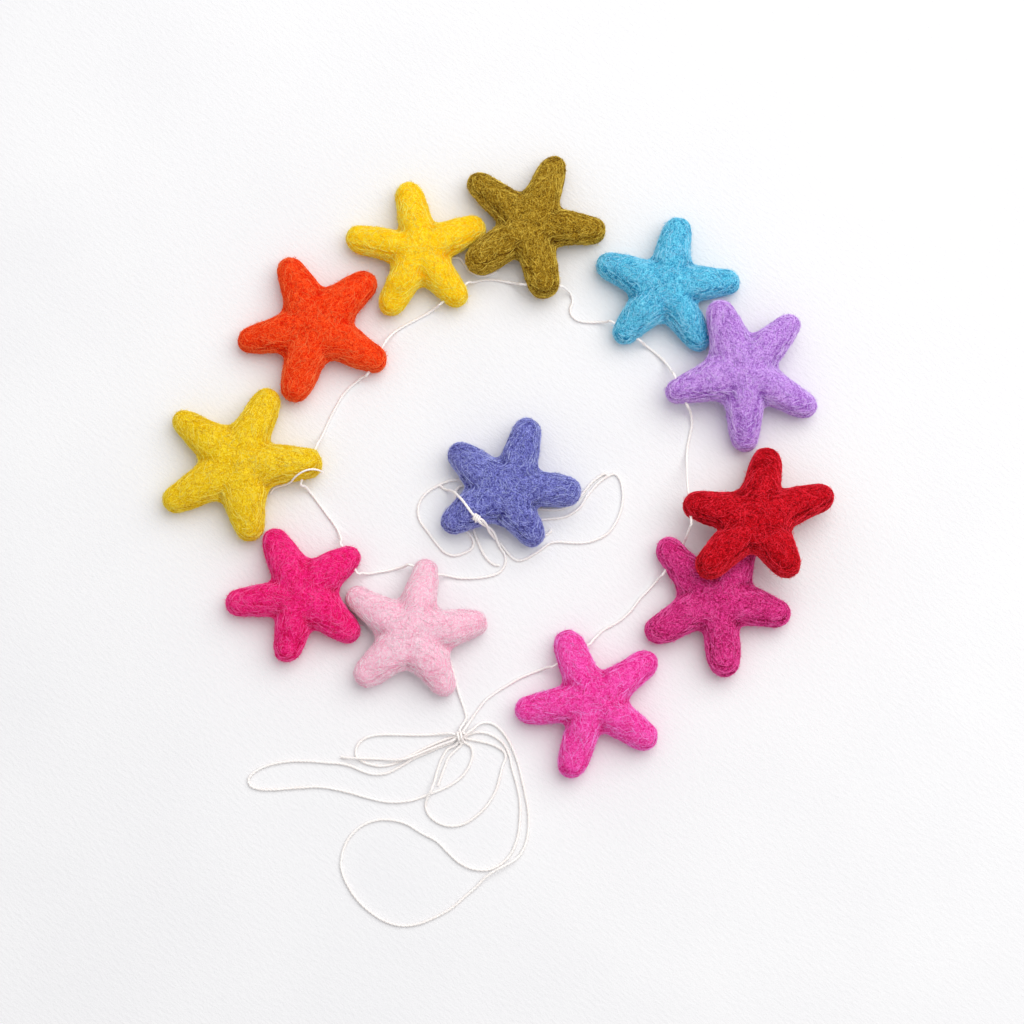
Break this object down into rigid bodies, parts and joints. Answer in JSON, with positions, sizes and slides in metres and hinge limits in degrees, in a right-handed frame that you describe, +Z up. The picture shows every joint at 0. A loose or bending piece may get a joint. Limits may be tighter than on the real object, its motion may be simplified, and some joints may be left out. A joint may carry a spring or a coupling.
{
  "type": "felt star garland",
  "caption": "Garland of plump wool felt stars in mixed colours, threaded on a white cotton string that ends in a loose bow, laid down in a ring",
  "frame": {"origin": "on the surface the garland lies on, under the middle of the box of its stars", "axes": "+Z up from the surface; +X to the right and +Y away from the viewer, with the bow at -Y"},
  "size_m": [0.2473, 0.2875, 0.0246],
  "materials": {
    "felt_orange": "matte fuzzy wool felt",
    "felt_yellow": "matte fuzzy wool felt",
    "felt_olive": "matte fuzzy wool felt",
    "felt_light_blue": "matte fuzzy wool felt",
    "felt_lavender": "matte fuzzy wool felt",
    "felt_red": "matte fuzzy wool felt",
    "felt_dark_pink": "matte fuzzy wool felt",
    "felt_mustard": "matte fuzzy wool felt",
    "felt_hot_pink": "matte fuzzy wool felt",
    "felt_light_pink": "matte fuzzy wool felt",
    "felt_fuchsia": "matte fuzzy wool felt",
    "felt_periwinkle": "matte fuzzy wool felt",
    "cotton_string": "soft twisted cotton"
  },
  "bodies": {
    "root": {"star_orange": "felt_orange", "star_yellow": "felt_yellow", "star_olive": "felt_olive", "star_light_blue": "felt_light_blue", "star_lavender": "felt_lavender", "star_red": "felt_red", "star_dark_pink": "felt_dark_pink", "star_mustard": "felt_mustard", "star_hot_pink": "felt_hot_pink", "star_light_pink": "felt_light_pink", "star_fuchsia": "felt_fuchsia", "star_periwinkle": "felt_periwinkle", "string_bow_to_fuchsia": "cotton_string", "string_fuchsia_to_dark_pink": "cotton_string", "string_dark_pink_to_red": "cotton_string", "string_red_to_lavender": "cotton_string", "string_lavender_to_light_blue": "cotton_string", "string_light_blue_to_olive": "cotton_string", "string_olive_to_yellow": "cotton_string", "string_yellow_to_orange": "cotton_string", "string_orange_to_mustard": "cotton_string", "string_mustard_to_hot_pink": "cotton_string", "string_hot_pink_to_light_pink": "cotton_string", "string_light_pink_to_blue": "cotton_string", "string_blue_right_loop": "cotton_string", "string_blue_left_loop": "cotton_string", "string_over_blue_arm": "cotton_string", "string_light_pink_to_bow": "cotton_string", "string_yellow_side_strand": "cotton_string", "string_bow_left_loop": "cotton_string", "string_bow_long_loop": "cotton_string", "string_bow_tail_upper": "cotton_string", "string_bow_right_loop": "cotton_string", "string_bow_tail_lower": "cotton_string", "string_bow_great_loop_out": "cotton_string", "string_bow_great_loop_back": "cotton_string", "string_loose_thread": "cotton_string", "knot_bow": "cotton_string", "knot_on_blue_star": "cotton_string"}
  },
  "joints": []
}
